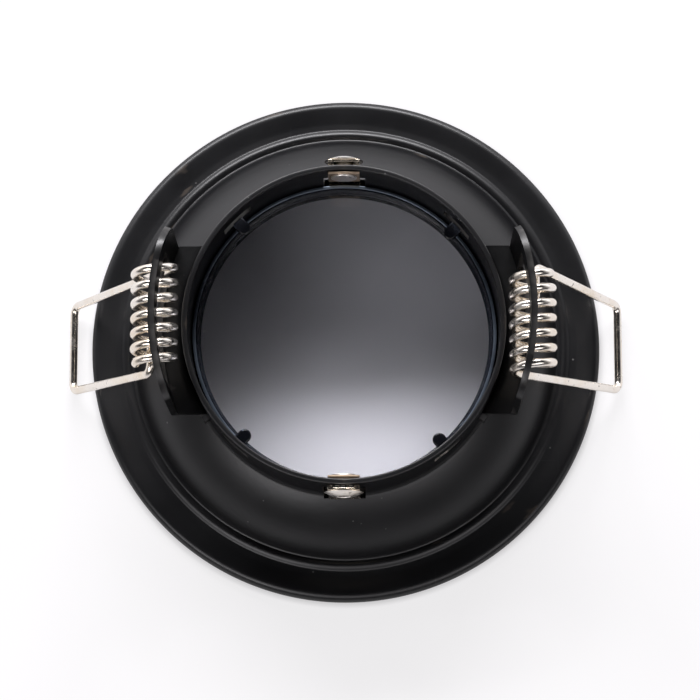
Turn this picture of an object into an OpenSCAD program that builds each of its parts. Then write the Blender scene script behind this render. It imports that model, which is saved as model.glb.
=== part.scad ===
// Recessed soffit downlight for a 50 mm reflector lamp, lying face down.
// Origin: centre of the flange, on the plane of its front edge. +Z points up into the soffit,
// +X runs through the right-hand spring and +Y through the upper catch.

/* [Trim] */
// Outer diameter of the flange
trim_d = 85; // [80:0.5:95]
// Thickness of the pressed sheet
trim_t = 0.9; // [0.6:0.05:1.1]
// Height of the flange's flat back above the front edge
flange_h = 2.3; // [1.8:0.1:3]
// Radius of the flange's rolled edge
roll_w = 0.75; // [0.6:0.05:1.2]
// Width of the flange's rim, which climbs to the rolled edge
rim_w = 2.55; // [1.5:0.05:4]
// Rise of that rim
rim_rise = 0.4; // [0.1:0.05:0.6]
// Width of the flange's flat ring, between its bead and its rim
flat_w = 1.5; // [1:0.05:4]
// Width of the groove between the dish and the bead
groove_w = 0.63; // [0.3:0.01:2]
// Depth of that groove below the dish's foot
groove_h = 0.285; // [0.1:0.005:0.5]
// Half the width of the bead on the flange's back
bead_half = 0.75; // [0.5:0.05:0.9]
// Height of the bead
bead_h = 0.5; // [0.2:0.05:0.6]
// Slope of the dish where it meets the collar, below level
dish_top_slope = 28; // [24:1:32]
// Slope of the dish where it meets the flange, below level
dish_low_slope = 65; // [60:1:68]

/* [Collar] */
// Outer diameter of the collar
collar_d = 51.9; // [51:0.1:52.5]
// Height of the collar above the dish
collar_h = 13.2; // [12:0.1:18]
// Angles of the four lamp stops, anticlockwise from +X
stop_angles = [43, 134, 227, 310.5];
// Width of a lamp stop
stop_w = 2.2; // [1.6:0.1:3]
// Reach of a lamp stop inside the collar
stop_reach = 2.6; // [1.5:0.1:2.9]
// Room for the lamp's front rim, between the lock ring and the lamp stops
lamp_rim_h = 2.1; // [1.5:0.1:3]
// Width of the slot that a lamp stop is bent from
stop_slot_w = 5.8; // [4:0.1:7]
// Height of that slot
stop_slot_h = 2.6; // [1.5:0.1:3]

/* [Lock ring] */
// Running gap between the lock ring and the collar
ring_gap = 0.25; // [0.15:0.05:0.4]
// Wall of the lock ring's sleeve
ring_wall = 0.55; // [0.5:0.05:1]
// Rise of the sleeve's upper edge above the collar's foot
ring_rise = 3.7; // [3.2:0.1:4.2]
// Drop of the bezel's front face below the collar's foot
ring_drop = 2.6; // [2.5:0.1:3.2]
// Thickness of the bezel and of the glass seat
ring_lip_t = 0.9; // [0.7:0.05:1]
// Width of the seat under the glass
ring_seat_w = 0.6; // [0.5:0.1:3]
// Reach of the bezel past the sleeve
bezel_reach = 2.5; // [1:0.1:2.7]

/* [Glass] */
// Thickness of the glass
glass_t = 2.2; // [1.5:0.1:2.6]
// Gap round the glass in its sleeve
glass_gap = 0.1; // [0.05:0.05:0.2]
// Width of the gasket on the glass
gasket_w = 0.6; // [0.5:0.05:1.5]
// Step from the sleeve's upper edge down to the gasket
gasket_step = 0.5; // [0.2:0.1:1]

/* [Catches] */
// Width of a catch leaf
leaf_w = 5.1; // [4.5:0.1:5.5]
// Thickness of a catch leaf
leaf_t = 0.4; // [0.3:0.05:0.5]
// Stand-off of a leaf's ribs from the collar
rib_h = 0.55; // [0.3:0.05:0.8]
// Width of a rib
rib_w = 0.9; // [0.6:0.1:1]
// Spacing of the two ribs
rib_pitch = 4.1; // [3.8:0.05:4.3]
// Gap between a leaf and the lock ring's sleeve
leaf_grip_gap = 0.03; // [0.02:0.01:0.08]
// Gap between a leaf's inner leg and the collar's bore
leaf_bore_gap = 0.04; // [0.02:0.01:0.08]
// Rise of a leaf's lower turn above the collar's foot
leaf_rise = 1.6; // [1.5:0.1:2]
// How far a leaf's inner leg bows in to its grip
leaf_bow = 0.3; // [0.2:0.05:0.35]
// Height from the lower turn to that grip, and from it back out
leaf_bow_h = 1; // [0.8:0.1:1.2]
// Drop from a window's upper edge to where the inner leg leaves the bore
leaf_lean = 1; // [0.5:0.1:2]
// Width of a window in the collar
window_w = 6.8; // [6.2:0.1:8]
// Drop of a window's lower edge below the collar's foot
window_drop = 1.2; // [1:0.1:1.5]
// Reach of a window into the dish, past the collar
window_reach = 0.65; // [0.4:0.05:1]
// Width of sheet left between a window and its rivet hole
rivet_land = 0.75; // [0.5:0.05:1.2]
// Depth of the rivets below the collar's rim
rivet_depth = 2.7; // [2.4:0.1:3.2]
// Diameter of a rivet's shank
rivet_d = 3; // [2.4:0.1:3.2]
// Diameter of a rivet's head
rivet_head_d = 6.3; // [5:0.1:6.6]
// Height of a rivet's head
rivet_head_h = 0.9; // [0.6:0.1:1.8]
// Diameter of the hole that the broken mandrel leaves in a rivet
rivet_core_d = 2.2; // [1:0.1:2.4]
// Diameter of a rivet's upset end
rivet_tail_d = 4.3; // [3.8:0.1:5]
// Length of a rivet's upset end
rivet_tail_l = 0.3; // [0.2:0.05:0.6]

/* [Brackets] */
// Thickness of the bracket sheet
bracket_t = 1; // [0.8:0.05:1.1]
// Width of the ear beside its window
ear_side_w = 3.8; // [3:0.1:6]
// Reach of the leg past each end of the shelf, along the collar
leg_reach = 0.7; // [0:0.1:1.5]
// Depth of that leg
leg_h = 4.2; // [2.5:0.1:5]
// Depth of the shelf below the collar's rim
shelf_depth = 6; // [5:0.1:7]
// Width of the shelf, from the collar to the middle of the ear
shelf_w = 3.85; // [3.5:0.05:5]
// Height of the ear's bar above its window
ear_bar_h = 5.85; // [5.6:0.05:9]
// Radius of the ear's bow
ear_bow_r = 40; // [35:1:60]
// Radius of the ear's upper corners
ear_corner_r = 5.5; // [3:0.5:5.7]
// Gap between the arms of the wire and each end of the ear's window
window_end_gap = 0.75; // [0.4:0.05:1.5]
// Height of the window's sill above the shelf
ear_sill_h = 0.7; // [0.5:0.1:0.8]
// Length of the tongue that goes into the coil
tongue_l = 4; // [2:0.5:5]
// Width of that tongue
tongue_w = 2.3; // [1.5:0.1:2.6]

/* [Wire springs] */
// Diameter of the wire
wire_d = 1.4; // [1.2:0.05:1.5]
// Mean radius of the coil
coil_r = 3.15; // [3.05:0.05:3.3]
// Pitch of the coil
coil_pitch = 2.4; // [2.2:0.05:2.45]
// Number of turns in the coil
coil_turns = 6.5; // [5.5:1:6.5]
// Distance of the coil's axis outwards of the ear's middle
coil_out = 0.2; // [0.1:0.05:0.5]
// Height of the coil's axis above the shelf
coil_rise = 9; // [8.6:0.1:9.5]
// Gap between the coil and the top of the ear's window
coil_gap = 0.3; // [0.2:0.05:0.5]
// Distance of the crossbar outside the flange
crossbar_out = 3.1; // [1.5:0.1:6]
// Height of the crossbar's centre
crossbar_z = 1.5; // [1:0.1:3]
// How far each arm leans in, from the coil to the crossbar
arm_lean = 1.4; // [0:0.1:2.5]
// Gap from the end of the coil to the middle of the hooked arm
hook_gap = 1.5; // [1.5:0.1:2.5]
// Distance of the hooked arm's tail from the coil's axis
tail_offset = 1.05; // [0.8:0.05:1.15]
// Length of the tail inside the coil
tail_l = 5; // [3:0.5:8]
// Radius of the wire's bends
bend_r = 1.6; // [1.4:0.1:2]

/* [Hidden] */

$fn = 96;
curve_steps = 12;
wire_sides = 6;
rings_a_turn = 8;
bend_rings = 5;
over = 1;
touch_gap = 0.02;
rivet_gap = 0.05;
corner_ease = 0.1;

paint = [0.07, 0.07, 0.075];
nickel = [0.8, 0.76, 0.68];
pane = [0.6, 0.62, 0.65, 0.6];
rubber = [0.03, 0.03, 0.035];

// Trim profile, as radius and height on the sheet's middle surface.
collar_mid_r = (collar_d - trim_t) / 2;
collar_in_r = collar_d / 2 - trim_t;
flange_mid_z = flange_h - trim_t / 2;
rim_mid_z = flange_mid_z + rim_rise;
edge_mid_r = trim_d / 2 - trim_t / 2;
roll_r = edge_mid_r - roll_w;
bead_r = roll_r - rim_w - flat_w - bead_half;

// The dish is one arc, which joins the groove to the collar at the two slopes.
foot_r = collar_mid_r + trim_t / 2;
dish_foot_r = bead_r - bead_half - groove_w;
dish_curve_r = (dish_foot_r - foot_r) / (sin(dish_low_slope) - sin(dish_top_slope));
dish_centre_r = foot_r - dish_curve_r * sin(dish_top_slope);
dish_centre_z = flange_mid_z + groove_h - dish_curve_r * cos(dish_low_slope);
collar_foot_z = dish_centre_z + dish_curve_r * cos(dish_top_slope);
collar_rim_z = collar_foot_z + collar_h;

function dish_point(slope) =
    [dish_centre_r + dish_curve_r * sin(slope), dish_centre_z + dish_curve_r * cos(slope)];
function steps(from, to, count) = [for (i = [0:count]) from + (to - from) * i / count];

collar_path = [[collar_mid_r, collar_rim_z], [collar_mid_r, collar_foot_z + trim_t]];
dish_path = [for (slope = steps(dish_top_slope, dish_low_slope, curve_steps)) dish_point(slope)];
bead_path = [for (a = steps(-90, 90, curve_steps / 2))
    [bead_r + bead_half * a / 90, flange_mid_z + bead_h * cos(a)]];
rim_r = roll_r - rim_w;
flat_path = [for (r = [bead_r + bead_half + trim_t / 3, rim_r - corner_ease, rim_r + corner_ease])
    [r, flange_mid_z]];
roll_path = [for (a = steps(0, 90, curve_steps / 2))
    [roll_r + roll_w * sin(a), rim_mid_z - roll_w + roll_w * cos(a)]];
trim_path = concat(collar_path, dish_path, bead_path, flat_path, [[roll_r - 2 * corner_ease, rim_mid_z]],
    roll_path, [[edge_mid_r, 0]]);

// A path thickened to both sides, as a closed outline.
function unit(v) = v / norm(v);
function path_dir(path, i) =
    unit(path[min(i + 1, len(path) - 1)] - path[max(i - 1, 0)]);
function side_points(path, half) = [for (i = [0:len(path) - 1])
    let (d = path_dir(path, i)) path[i] + half * [-d[1], d[0]]];
function reversed(list) = [for (i = [len(list) - 1:-1:0]) list[i]];
function thick_path(path, t) =
    concat(side_points(path, t / 2), reversed(side_points(path, -t / 2)));

// Lock ring and what it carries.
sleeve_r = collar_in_r - ring_gap;
sleeve_in_r = sleeve_r - ring_wall;
ring_top_z = collar_foot_z + ring_rise;
ring_front_z = collar_foot_z - ring_drop;
stop_z = ring_top_z + lamp_rim_h + trim_t;
seat_z = ring_front_z + ring_lip_t;
glass_top_z = seat_z + ring_lip_t + glass_t;
gasket_top_z = ring_top_z - gasket_step;

// Catches. A leaf is one strip: an outer leg, a turn through the window and an inner leg.
// Its path is given as distance from the part's axis and height.
rivet_z = collar_rim_z - rivet_depth;
window_top_z = rivet_z - rivet_d / 2 - rivet_gap - rivet_land;
window_low_z = collar_foot_z - window_drop;
leaf_top_z = rivet_z + rivet_d / 2 + trim_t;
leaf_plate_r = collar_d / 2 + rib_h + leaf_t / 2;
leaf_grip_r = sleeve_r + leaf_grip_gap + leaf_t / 2;
leaf_bore_r = sqrt(pow(collar_in_r, 2) - pow(leaf_w / 2, 2)) - leaf_bore_gap - leaf_t / 2;
leaf_slack_r = leaf_grip_r + leaf_bow;
leaf_turn_r = (leaf_plate_r - leaf_slack_r) / 2;
leaf_turn_z = collar_foot_z + leaf_rise;
leaf_path = concat([[leaf_plate_r, leaf_top_z]],
    [for (a = steps(0, -180, curve_steps))
        [leaf_plate_r - leaf_turn_r + leaf_turn_r * cos(a), leaf_turn_z + leaf_turn_r * sin(a)]],
    [[leaf_grip_r, leaf_turn_z + leaf_bow_h], [leaf_slack_r, leaf_turn_z + 2 * leaf_bow_h],
        [leaf_slack_r, stop_z - trim_t], [leaf_bore_r, window_top_z - leaf_lean], [leaf_bore_r, leaf_top_z]]);
rivet_seat_r = leaf_plate_r + leaf_t / 2 + touch_gap;
rivet_tail_r = leaf_bore_r - leaf_t / 2 - touch_gap;

// Brackets.
leg_in_r = collar_d / 2 + touch_gap;
leg_out_r = leg_in_r + bracket_t;
ear_x = collar_d / 2 + shelf_w;
ear_bow_x = ear_x - ear_bow_r;
shelf_z = collar_rim_z - shelf_depth;
coil_x = ear_x + coil_out;
coil_z = shelf_z + coil_rise;
hook_y = (coil_turns * coil_pitch + hook_gap) / 2;
coil_start_y = -hook_y;
window_sill_z = shelf_z + ear_sill_h;
window_head_z = coil_z + coil_r + wire_d / 2 + coil_gap;
ear_top_z = window_head_z + ear_bar_h;
ear_window_l = 2 * (hook_y + wire_d / 2 + window_end_gap);
ear_l = ear_window_l + 2 * ear_side_w;
leg_l = ear_l + 2 * leg_reach;

// The wire's path, for the right-hand spring.
crossbar_x = trim_d / 2 + crossbar_out;
crossbar_y = hook_y - arm_lean;
crossbar_reach = norm([crossbar_x - coil_x, crossbar_z - coil_z]);
crossbar_dir = atan2(crossbar_z - coil_z, crossbar_x - coil_x);
leave_dir = crossbar_dir + asin(coil_r / crossbar_reach);
leave_angle = leave_dir - 90;

function spin_point(radius, angle, y) =
    [coil_x + radius * cos(angle), y, coil_z + radius * sin(angle)];
function coil_point(turn) =
    spin_point(coil_r, leave_angle - 360 * turn, coil_start_y + coil_pitch * turn);
// Round a corner at b, between a and c.
function bend(a, b, c, r) =
    let (u = unit(a - b), v = unit(c - b), half = acos(u * v) / 2,
        back = r / tan(half), centre = b + unit(u + v) * r / sin(half),
        from = b + u * back - centre, to = b + v * back - centre, sweep = 180 - 2 * half)
    [for (i = [0:bend_rings - 1]) let (a = sweep * i / (bend_rings - 1))
        centre + (from * sin(sweep - a) + to * sin(a)) / sin(sweep)];

tail_end = spin_point(tail_offset, crossbar_dir, hook_y - tail_l);
tail_corner = spin_point(tail_offset, crossbar_dir, hook_y);
far_corner = [crossbar_x, crossbar_y, crossbar_z];
near_corner = [crossbar_x, -crossbar_y, crossbar_z];
coil_start = coil_point(0);
coil_count = round(coil_turns * rings_a_turn);
coil_path = [for (i = [0:coil_count]) coil_point(i / rings_a_turn)];
coil_end = coil_path[coil_count];
coil_stop = coil_end + wire_d * unit(coil_point((coil_count + 1) / rings_a_turn) - coil_end);
wire_path = concat([tail_end],
    bend(tail_end, tail_corner, far_corner, bend_r),
    bend(tail_corner, far_corner, near_corner, bend_r),
    bend(far_corner, near_corner, coil_start, bend_r),
    coil_path, [coil_stop]);

// Directions that twist as little as possible along the wire.
wire_dirs = [for (i = [0:len(wire_path) - 1]) path_dir(wire_path, i)];
function carried(v, d) = unit(v - (v * d) * d);
function wire_sides_from(i, v) =
    i == len(wire_path) ? [] : let (n = carried(v, wire_dirs[i])) concat([n], wire_sides_from(i + 1, n));
wire_normals = wire_sides_from(0, [0, 0, 1]);
wire_points = [for (i = [0:len(wire_path) - 1], k = [0:wire_sides - 1])
    let (a = 360 * k / wire_sides, n = wire_normals[i], m = cross(wire_dirs[i], n))
    wire_path[i] + wire_d / 2 * (cos(a) * n + sin(a) * m)];
wire_rings = len(wire_path);
wire_faces = concat(
    [[for (k = [0:wire_sides - 1]) k]],
    [for (i = [0:wire_rings - 2], k = [0:wire_sides - 1])
        let (p = i * wire_sides + k, q = i * wire_sides + (k + 1) % wire_sides)
        each [[p, p + wire_sides, q + wire_sides], [p, q + wire_sides, q]]],
    [[for (k = [wire_sides - 1:-1:0]) (wire_rings - 1) * wire_sides + k]]);

// Least gap of the wire to itself, between middles of stretches over three diameters apart.
function along(i) = i == 0 ? [0] :
    let (before = along(i - 1)) concat(before, [before[i - 1] + norm(wire_path[i] - wire_path[i - 1])]);
wire_along = along(wire_rings - 1);
wire_mids = [for (i = [0:wire_rings - 2]) (wire_path[i] + wire_path[i + 1]) / 2];
wire_probe = concat(wire_path, wire_mids);
probe_along = concat(wire_along, [for (i = [0:wire_rings - 2]) (wire_along[i] + wire_along[i + 1]) / 2]);
wire_gap = min([for (i = [0:len(wire_probe) - 1], j = [0:i])
    if (probe_along[i] - probe_along[j] > 3 * wire_d || probe_along[j] - probe_along[i] > 3 * wire_d)
        norm(wire_probe[i] - wire_probe[j])]) - wire_d;
echo(lamp_bore_mm = 2 * collar_in_r, dish_curve_r = dish_curve_r, collar_rim_z = collar_rim_z);
echo(least_wire_gap_mm = wire_gap, coil_turns = coil_turns, wire_length_mm = wire_along[wire_rings - 1]);

// A box centred on X and Y, standing on z.
module block(size, z) {
    translate([-size[0] / 2, -size[1] / 2, z]) cube(size);
}

// What a radial cutter or boss at the collar needs: its own +X becomes the given direction.
module at_angle(a) {
    rotate([0, 0, a]) children();
}

module lamp_stop() {
    stop_mid_r = collar_in_r - stop_reach + stop_w / 2;
    translate([stop_mid_r, -stop_w / 2, stop_z - trim_t])
        cube([collar_mid_r - stop_mid_r, stop_w, trim_t]);
    translate([stop_mid_r, 0, stop_z - trim_t]) cylinder(h = trim_t, d = stop_w);
}

module stop_slot() {
    translate([collar_in_r - over, -stop_slot_w / 2, stop_z])
        cube([trim_t + 2 * over, stop_slot_w, stop_slot_h]);
}

module catch_window() {
    translate([collar_in_r - over, -window_w / 2, window_low_z])
        cube([trim_t + window_reach + over, window_w, window_top_z - window_low_z]);
}

module rivet_hole() {
    translate([collar_in_r - over, 0, rivet_z]) rotate([0, 90, 0])
        cylinder(h = trim_t + 2 * over, d = rivet_d + 2 * rivet_gap);
}

module trim_body() {
    color(paint) {
        difference() {
            rotate_extrude() polygon(thick_path(trim_path, trim_t));
            for (a = stop_angles) at_angle(a) stop_slot();
            for (a = [90, 270]) at_angle(a) {
                catch_window();
                rivet_hole();
            }
        }
        for (a = stop_angles) at_angle(a) lamp_stop();
    }
}

module lock_ring() {
    color(paint) rotate_extrude() polygon([
        [sleeve_in_r - ring_seat_w, seat_z], [sleeve_in_r - ring_seat_w, seat_z + ring_lip_t],
        [sleeve_in_r, seat_z + ring_lip_t], [sleeve_in_r, ring_top_z], [sleeve_r, ring_top_z],
        [sleeve_r, seat_z], [sleeve_r + bezel_reach, seat_z],
        [sleeve_r + bezel_reach, ring_front_z], [sleeve_in_r, ring_front_z]]);
}

module glass_disc() {
    color(pane) translate([0, 0, seat_z + ring_lip_t]) cylinder(h = glass_t, r = sleeve_in_r - glass_gap);
}

module glass_gasket() {
    color(rubber) rotate_extrude() translate([sleeve_in_r - touch_gap - gasket_w, glass_top_z])
        square([gasket_w, gasket_top_z - glass_top_z]);
}

module catch_leaf() {
    color(nickel) difference() {
        union() {
            rotate([90, 0, 0]) translate([0, 0, -leaf_w / 2]) linear_extrude(leaf_w)
                polygon(thick_path(leaf_path, leaf_t));
            for (side = [-1, 1]) translate([leaf_plate_r, side * rib_pitch / 2, window_top_z])
                rotate([0, 0, 180]) translate([0, -rib_w / 2, 0])
                cube([leaf_t / 2 + rib_h, rib_w, leaf_top_z - window_top_z]);
        }
        translate([leaf_bore_r - over, 0, rivet_z]) rotate([0, 90, 0])
            cylinder(h = leaf_plate_r - leaf_bore_r + 2 * over, d = rivet_d + 2 * rivet_gap);
    }
}

module catch_top() { at_angle(90) catch_leaf(); }

module catch_bottom() { at_angle(270) catch_leaf(); }

// One blind rivet along +X: flat upset end, shank and domed head, with the mandrel's hole.
module rivet() {
    dome_r = (pow(rivet_head_d / 2, 2) + pow(rivet_head_h, 2)) / (2 * rivet_head_h);
    rotate([0, 90, 0]) difference() {
        union() {
            translate([0, 0, rivet_tail_r - rivet_tail_l]) cylinder(h = rivet_tail_l, d = rivet_tail_d);
            translate([0, 0, rivet_tail_r - rivet_gap])
                cylinder(h = rivet_seat_r - rivet_tail_r + 2 * rivet_gap, d = rivet_d);
            intersection() {
                translate([0, 0, rivet_seat_r + rivet_head_h - dome_r]) sphere(r = dome_r);
                translate([0, 0, rivet_seat_r]) cylinder(h = rivet_head_h + over, d = rivet_head_d + over);
            }
        }
        translate([0, 0, rivet_seat_r]) cylinder(h = rivet_head_h + over, d = rivet_core_d);
    }
}

module catch_rivets() {
    color(nickel) for (a = [90, 270]) at_angle(a) translate([0, 0, rivet_z]) rivet();
}

// Everything within half a length of the X axis.
module strip(length, from_z, to_z, to_x) {
    translate([0, -length / 2, from_z]) cube([to_x, length, to_z - from_z]);
}

module bracket() {
    shelf_low_z = shelf_z - bracket_t;
    ear_out_r = ear_bow_r + bracket_t / 2;
    far_x = ear_x + 2 * bracket_t;
    color(paint) {
        // Leg, bent down along the collar.
        intersection() {
            translate([0, 0, shelf_z - leg_h]) difference() {
                cylinder(h = leg_h, r = leg_out_r);
                translate([0, 0, -over]) cylinder(h = leg_h + 2 * over, r = leg_in_r);
            }
            strip(leg_l, shelf_z - leg_h, shelf_z, leg_out_r);
        }
        // Shelf, from the collar to the ear.
        intersection() {
            difference() {
                translate([ear_bow_x, 0, shelf_low_z]) cylinder(h = bracket_t, r = ear_out_r);
                translate([0, 0, shelf_low_z - over]) cylinder(h = bracket_t + 2 * over, r = leg_in_r);
            }
            strip(ear_l, shelf_low_z, shelf_z, far_x);
        }
        // Ear, with its window and tongue.
        intersection() {
            translate([ear_bow_x, 0, shelf_low_z]) difference() {
                cylinder(h = ear_top_z - shelf_low_z, r = ear_out_r);
                translate([0, 0, -over])
                    cylinder(h = ear_top_z - shelf_low_z + 2 * over, r = ear_out_r - bracket_t);
            }
            ear_outline(shelf_low_z, far_x);
        }
    }
}

// The ear's outline, as seen along X.
module ear_outline(low_z, far_x) {
    difference() {
        union() {
            strip(ear_l, low_z, ear_top_z - ear_corner_r, far_x);
            strip(ear_l - 2 * ear_corner_r, low_z, ear_top_z, far_x);
            for (side = [-1, 1])
                translate([0, side * (ear_l / 2 - ear_corner_r), ear_top_z - ear_corner_r])
                rotate([0, 90, 0]) cylinder(h = far_x, r = ear_corner_r);
        }
        difference() {
            translate([-over, 0, 0]) strip(ear_window_l, window_sill_z, window_head_z, far_x + 2 * over);
            translate([-over, -ear_window_l / 2 - over, coil_z - tongue_w / 2])
                cube([far_x + 2 * over, tongue_l + over, tongue_w]);
        }
    }
}

module bracket_right() { bracket(); }

module bracket_left() { rotate([0, 0, 180]) bracket(); }

module wire_spring() {
    color(nickel) polyhedron(points = wire_points, faces = wire_faces);
}

module spring_right() { wire_spring(); }

module spring_left() { rotate([0, 0, 180]) wire_spring(); }

trim_body();
lock_ring();
glass_disc();
glass_gasket();
catch_top();
catch_bottom();
catch_rivets();
bracket_right();
bracket_left();
spring_right();
spring_left();
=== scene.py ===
import math

import bmesh
import bpy
from mathutils import Matrix, Vector


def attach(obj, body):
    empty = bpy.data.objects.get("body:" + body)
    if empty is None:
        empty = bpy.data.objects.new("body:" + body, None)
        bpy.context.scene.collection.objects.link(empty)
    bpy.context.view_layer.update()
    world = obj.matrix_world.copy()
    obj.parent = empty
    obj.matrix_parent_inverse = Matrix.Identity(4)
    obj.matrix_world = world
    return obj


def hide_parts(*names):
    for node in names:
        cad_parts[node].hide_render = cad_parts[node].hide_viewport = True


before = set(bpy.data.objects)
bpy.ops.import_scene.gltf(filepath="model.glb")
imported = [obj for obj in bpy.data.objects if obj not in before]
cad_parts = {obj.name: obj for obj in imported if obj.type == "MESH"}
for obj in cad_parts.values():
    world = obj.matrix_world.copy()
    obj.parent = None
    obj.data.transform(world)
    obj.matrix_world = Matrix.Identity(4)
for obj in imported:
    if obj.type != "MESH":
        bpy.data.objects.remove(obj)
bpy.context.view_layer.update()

MM = 0.001
FULL_TURN = 2 * math.pi

# Trim, in millimetres.
TRIM_D = 85.0
TRIM_T = 0.9
FACET_GAP = 0.004
FLANGE_H = 2.3
ROLL_W = 0.75
RIM_W = 2.55
RIM_RISE = 0.4
FLAT_W = 1.5
GROOVE_W = 0.63
GROOVE_H = 0.285
BEAD_HALF = 0.75
BEAD_H = 0.5
DISH_TOP_SLOPE = math.radians(28)
DISH_LOW_SLOPE = math.radians(65)
FOOT_EASE = 0.12

# Collar.
COLLAR_D = 51.9
COLLAR_H = 13.2
STOP_ANGLES = (43, 134, 227, 310.5)
STOP_W = 2.2
STOP_REACH = 2.6
LAMP_RIM_H = 2.1
STOP_SLOT_W = 5.8
STOP_SLOT_H = 2.6
PUNCH_OVER = 1.0

# Lock ring, glass and gasket.
RING_GAP = 0.25
RING_WALL = 0.55
RING_RISE = 3.7
RING_DROP = 2.6
RING_LIP_T = 0.9
RING_SEAT_W = 0.6
BEZEL_REACH = 2.5
GLASS_T = 2.2
GLASS_GAP = 0.1
GASKET_W = 0.6
GASKET_STEP = 0.5
GASKET_LEAN = 0.15

# Catches.
LEAF_W = 5.1
LEAF_T = 0.4
RIB_H = 0.55
RIB_W = 0.9
RIB_PITCH = 4.1
LEAF_GRIP_GAP = 0.03
LEAF_BORE_GAP = 0.04
LEAF_RISE = 1.6
LEAF_BOW = 0.3
LEAF_BOW_H = 1.0
LEAF_LEAN = 1.0
LEAF_BEND_R = 0.6
WINDOW_W = 6.8
WINDOW_DROP = 1.2
WINDOW_REACH = 0.65
RIVET_LAND = 0.75
RIVET_DEPTH = 2.7
RIVET_D = 3.0
RIVET_GAP = 0.05
RIVET_HEAD_D = 6.3
RIVET_HEAD_H = 0.9
RIVET_CORE_D = 2.2
RIVET_TAIL_D = 4.3
RIVET_TAIL_L = 0.3
RIVET_TAIL_SOFT = 0.8 * RIVET_TAIL_L
RIVET_LIP = 0.16
RIVET_RIM_W = 0.12
RIVET_RIM_H = 0.07
# The mandrel's torn end: shares of the core's radius, and heights over the head's foot.
TORN_END = ((1.0, 0.35), (0.8, 0.42), (0.45, 0.34), (0.0, 0.4))
TORN_END_TOP = 0.6

# Brackets.
BRACKET_T = 1.0
BRACKET_BEND_R = 0.15
EAR_SIDE_W = 3.8
LEG_REACH = 0.7
LEG_H = 4.2
SHELF_DEPTH = 6.0
SHELF_W = 3.85
EAR_BAR_H = 5.85
EAR_BOW_R = 40.0
EAR_CORNER_R = 5.5
WINDOW_END_GAP = 0.75
EAR_SILL_H = 0.7
TONGUE_L = 4.0
TONGUE_W = 2.3

# Wire springs.
WIRE_D = 1.4
WIRE_SKIN = 0.015
WIRE_CHAMFER = 0.22 * (WIRE_D / 2 - WIRE_SKIN)
COIL_R = 3.15
COIL_PITCH = 2.4
COIL_TURNS = 6.5
COIL_OUT = 0.2
COIL_RISE = 9.0
COIL_GAP = 0.3
COIL_OVERRUN = 1 / 8
CROSSBAR_OUT = 3.1
CROSSBAR_Z = 1.5
ARM_LEAN = 1.4
HOOK_GAP = 1.5
TAIL_OFFSET = 1.05
TAIL_L = 5.0
BEND_R = 1.6

TOUCH_GAP = 0.02
CORNER_EASE = 0.1

# Places that follow from the sizes.
COLLAR_R = COLLAR_D / 2
COLLAR_IN_R = COLLAR_R - TRIM_T
COLLAR_MID_R = COLLAR_R - TRIM_T / 2
FLANGE_MID_Z = FLANGE_H - TRIM_T / 2
EDGE_MID_R = TRIM_D / 2 - TRIM_T / 2 - FACET_GAP
ROLL_R = EDGE_MID_R - ROLL_W
RIM_R = ROLL_R - RIM_W
RIM_MID_Z = FLANGE_MID_Z + RIM_RISE
BEAD_R = RIM_R - FLAT_W - BEAD_HALF
DISH_FOOT_R = BEAD_R - BEAD_HALF - GROOVE_W
DISH_CURVE_R = (DISH_FOOT_R - COLLAR_R) / (math.sin(DISH_LOW_SLOPE) - math.sin(DISH_TOP_SLOPE))
DISH_CENTRE_R = COLLAR_R - DISH_CURVE_R * math.sin(DISH_TOP_SLOPE)
DISH_CENTRE_Z = FLANGE_MID_Z + GROOVE_H - DISH_CURVE_R * math.cos(DISH_LOW_SLOPE)
COLLAR_FOOT_Z = DISH_CENTRE_Z + DISH_CURVE_R * math.cos(DISH_TOP_SLOPE)
COLLAR_RIM_Z = COLLAR_FOOT_Z + COLLAR_H
SLEEVE_R = COLLAR_IN_R - RING_GAP
SLEEVE_IN_R = SLEEVE_R - RING_WALL
RING_TOP_Z = COLLAR_FOOT_Z + RING_RISE
RING_FRONT_Z = COLLAR_FOOT_Z - RING_DROP
STOP_Z = RING_TOP_Z + LAMP_RIM_H + TRIM_T
SEAT_Z = RING_FRONT_Z + RING_LIP_T
GLASS_LOW_Z = SEAT_Z + RING_LIP_T
GLASS_TOP_Z = GLASS_LOW_Z + GLASS_T
GASKET_TOP_Z = RING_TOP_Z - GASKET_STEP
RIVET_Z = COLLAR_RIM_Z - RIVET_DEPTH
WINDOW_TOP_Z = RIVET_Z - RIVET_D / 2 - RIVET_GAP - RIVET_LAND
WINDOW_LOW_Z = COLLAR_FOOT_Z - WINDOW_DROP
LEAF_PLATE_R = COLLAR_R + RIB_H + LEAF_T / 2
LEAF_GRIP_R = SLEEVE_R + LEAF_GRIP_GAP + LEAF_T / 2
LEAF_TOP_Z = RIVET_Z + RIVET_D / 2 + TRIM_T
LEAF_BORE_R = math.sqrt(COLLAR_IN_R ** 2 - (LEAF_W / 2) ** 2) - LEAF_BORE_GAP - LEAF_T / 2
LEAF_SLACK_R = LEAF_GRIP_R + LEAF_BOW
LEAF_TURN_R = (LEAF_PLATE_R - LEAF_SLACK_R) / 2
LEAF_TURN_Z = COLLAR_FOOT_Z + LEAF_RISE
RIVET_SEAT_R = LEAF_PLATE_R + LEAF_T / 2 + TOUCH_GAP
RIVET_TAIL_R = LEAF_BORE_R - LEAF_T / 2 - TOUCH_GAP
LEG_MID_R = COLLAR_R + TOUCH_GAP + BRACKET_T / 2
EAR_X = COLLAR_R + SHELF_W
SHELF_Z = COLLAR_RIM_Z - SHELF_DEPTH
SHELF_MID_Z = SHELF_Z - BRACKET_T / 2
COIL_X = EAR_X + COIL_OUT
COIL_Z = SHELF_Z + COIL_RISE
HOOK_Y = (COIL_TURNS * COIL_PITCH + HOOK_GAP) / 2
EAR_WINDOW_SILL = SHELF_Z + EAR_SILL_H
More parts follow.
